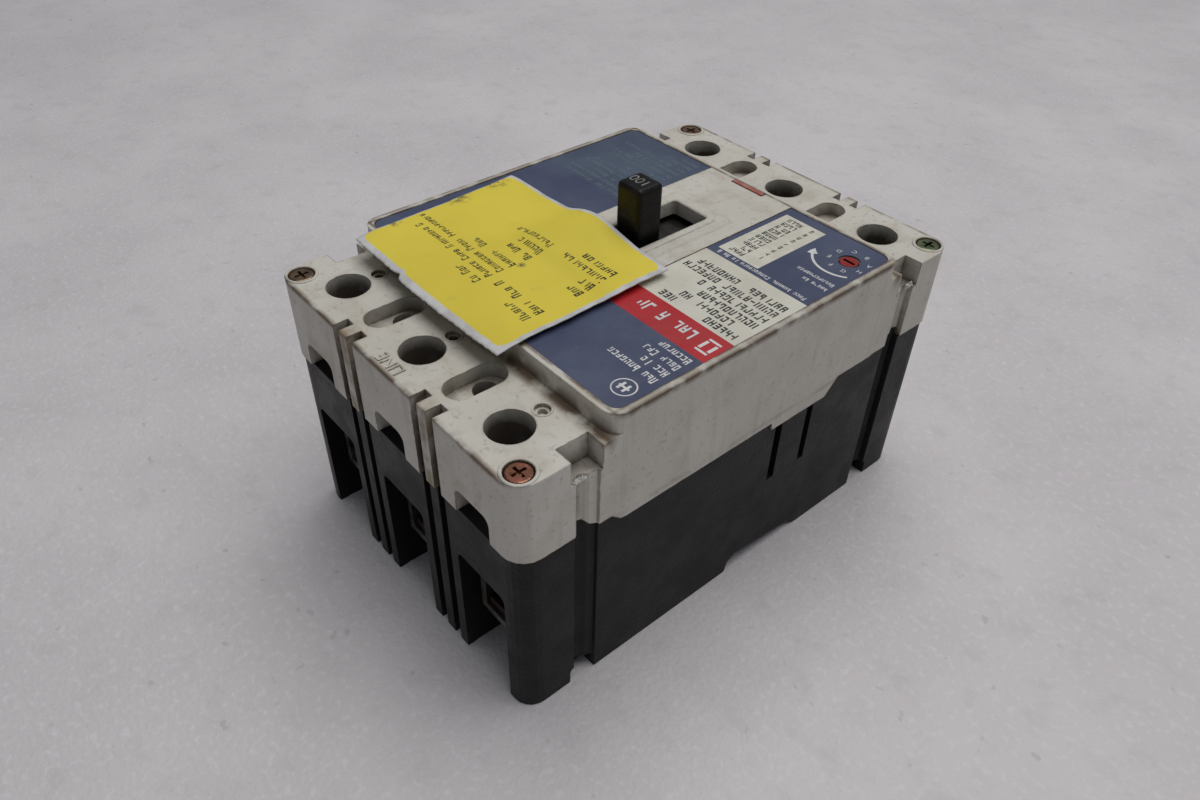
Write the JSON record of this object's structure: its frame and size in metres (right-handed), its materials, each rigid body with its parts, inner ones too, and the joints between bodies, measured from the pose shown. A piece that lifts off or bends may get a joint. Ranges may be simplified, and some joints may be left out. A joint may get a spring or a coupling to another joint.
{
  "type": "molded case breaker",
  "caption": "Molded case breaker with a toggle handle, wire collars at both ends, a push-to-trip bar and a trip-setting dial.",
  "frame": {"origin": "centre of the back face, where the breaker meets its mounting plate", "axes": "+Z out of the cover, -Y the line end, +Y the load end, +X across the poles"},
  "size_m": [0.1048, 0.1524, 0.1019],
  "materials": {
    "base_black": "satin",
    "cover_grey": "satin",
    "handle_black": "satin",
    "label_blue": "satin",
    "tag_yellow": "matte",
    "button_red": "satin",
    "zinc_steel": "satin",
    "screw_copper": "satin",
    "copper": "satin",
    "dark_molding": "satin",
    "chute_steel": "satin"
  },
  "bodies": {
    "case": {"base": "base_black", "cover": "cover_grey", "label_left": "label_blue", "label_right": "label_blue", "inventory_tag": "tag_yellow", "cover_screw_1": "screw_copper", "cover_screw_2": "screw_copper", "cover_screw_3": "screw_copper", "cover_screw_4": "screw_copper", "line_collar_1": "zinc_steel", "line_collar_2": "zinc_steel", "line_collar_3": "zinc_steel", "line_lug_screw_1": "zinc_steel", "line_lug_screw_2": "zinc_steel", "line_lug_screw_3": "zinc_steel", "line_conductor_1": "copper", "line_conductor_2": "copper", "line_conductor_3": "copper", "load_collar_1": "zinc_steel", "load_collar_2": "zinc_steel", "load_collar_3": "zinc_steel", "load_lug_screw_1": "zinc_steel", "load_lug_screw_2": "zinc_steel", "load_lug_screw_3": "zinc_steel", "load_conductor_1": "copper", "load_conductor_2": "copper", "load_conductor_3": "copper", "arc_chute_1": "chute_steel", "arc_chute_2": "chute_steel", "arc_chute_3": "chute_steel", "magnet_1": "zinc_steel", "magnet_2": "zinc_steel", "magnet_3": "zinc_steel", "side_frame_left": "zinc_steel", "side_frame_right": "zinc_steel", "braid_1": "copper", "braid_2": "copper", "braid_3": "copper", "trip_button_spring": "zinc_steel"},
    "handle": {"toggle_handle": "handle_black", "handle_yoke": "zinc_steel", "toggle_spring_left": "zinc_steel", "toggle_spring_right": "zinc_steel"},
    "slide": {"handle_slide": "handle_black"},
    "contacts": {"crossbar": "dark_molding", "contact_arm_1": "copper", "contact_arm_2": "copper", "contact_arm_3": "copper"},
    "cradle": {"cradle": "zinc_steel"},
    "upper_link": {"upper_link": "zinc_steel"},
    "lower_link": {"lower_link": "zinc_steel"},
    "armature_1": {"armature_1": "zinc_steel"},
    "armature_2": {"armature_2": "zinc_steel"},
    "armature_3": {"armature_3": "zinc_steel"},
    "trip_bar": {"trip_bar": "dark_molding"},
    "trip_button": {"trip_button": "button_red"},
    "dial_plunger": {"dial_plunger": "dark_molding"},
    "adjust_dial": {"adjust_dial": "button_red"},
    "adjust_bar": {"adjust_bar": "dark_molding"}
  },
  "joints": [
    {"name": "handle_swing", "type": "hinge", "parent": "case", "child": "handle", "pos_m": [0, 0.0039, 0.052], "axis": [1, 0, 0], "range_deg": [-16, 16], "deforming": ["toggle_spring_left", "toggle_spring_right", "inventory_tag"]},
    {"name": "slide_travel", "type": "slide", "parent": "case", "child": "slide", "axis": [0, 1, 0], "range_m": [-0.0085, 0.0085]},
    {"name": "contacts_swing", "type": "hinge", "parent": "case", "child": "contacts", "pos_m": [0, 0.008, 0.028], "axis": [1, 0, 0], "range_deg": [-11.5, 11.5], "deforming": ["braid_1", "braid_2", "braid_3"]},
    {"name": "cradle_swing", "type": "hinge", "parent": "case", "child": "cradle", "pos_m": [0, -0.014, 0.054], "axis": [1, 0, 0], "range_deg": [0, 6]},
    {"name": "upper_link_swing", "type": "hinge", "parent": "cradle", "child": "upper_link", "pos_m": [0, -0.005, 0.055], "axis": [1, 0, 0], "range_deg": [-8.5, 8.5]},
    {"name": "knee_swing", "type": "hinge", "parent": "upper_link", "child": "lower_link", "pos_m": [0, 0.00411, 0.04883], "axis": [1, 0, 0], "range_deg": [-5.5, 5.5]},
    {"name": "armature_1_swing", "type": "hinge", "parent": "case", "child": "armature_1", "pos_m": [-0.03493, 0.0498, 0.0339], "axis": [1, 0, 0], "range_deg": [0, 10], "stiffness_Nm_per_rad": 0.02, "springref_deg": -11.46},
    {"name": "armature_2_swing", "type": "hinge", "parent": "case", "child": "armature_2", "pos_m": [0, 0.0498, 0.0339], "axis": [1, 0, 0], "range_deg": [0, 10], "stiffness_Nm_per_rad": 0.02, "springref_deg": -11.46},
    {"name": "armature_3_swing", "type": "hinge", "parent": "case", "child": "armature_3", "pos_m": [0.03493, 0.0498, 0.0339], "axis": [1, 0, 0], "range_deg": [0, 10], "stiffness_Nm_per_rad": 0.02, "springref_deg": -11.46},
    {"name": "trip_bar_turn", "type": "hinge", "parent": "case", "child": "trip_bar", "pos_m": [0, 0.04, 0.061], "axis": [1, 0, 0], "range_deg": [-12, 0], "stiffness_Nm_per_rad": 0.02, "springref_deg": 11.46},
    {"name": "button_push", "type": "slide", "parent": "case", "child": "trip_button", "axis": [0, 0, 1], "range_m": [-0.0025, 0], "stiffness_N_per_m": 300, "springref_m": 0.002, "deforming": ["trip_button_spring"]},
    {"name": "dial_push", "type": "slide", "parent": "case", "child": "dial_plunger", "axis": [0, 0, 1], "range_m": [-0.0012, 0], "stiffness_N_per_m": 500, "springref_m": 0.002},
    {"name": "dial_turn", "type": "hinge", "parent": "dial_plunger", "child": "adjust_dial", "pos_m": [0.04399, 0.0386, 0.08555], "axis": [0, 0, 1], "range_deg": [0, 280]},
    {"name": "adjust_bar_turn", "type": "hinge", "parent": "case", "child": "adjust_bar", "pos_m": [0, 0.03, 0.072], "axis": [1, 0, 0], "range_deg": [0, 9]}
  ],
  "couplings": [
    {"joint": "slide_travel", "follows": "handle_swing", "m_per_rad": -0.0288},
    {"joint": "contacts_swing", "follows": "handle_swing", "ratio": 0.6875},
    {"joint": "upper_link_swing", "follows": "handle_swing", "ratio": -0.4948},
    {"joint": "knee_swing", "follows": "handle_swing", "ratio": 0.3109},
    {"joint": "adjust_bar_turn", "follows": "dial_turn", "ratio": 0.03}
  ]
}
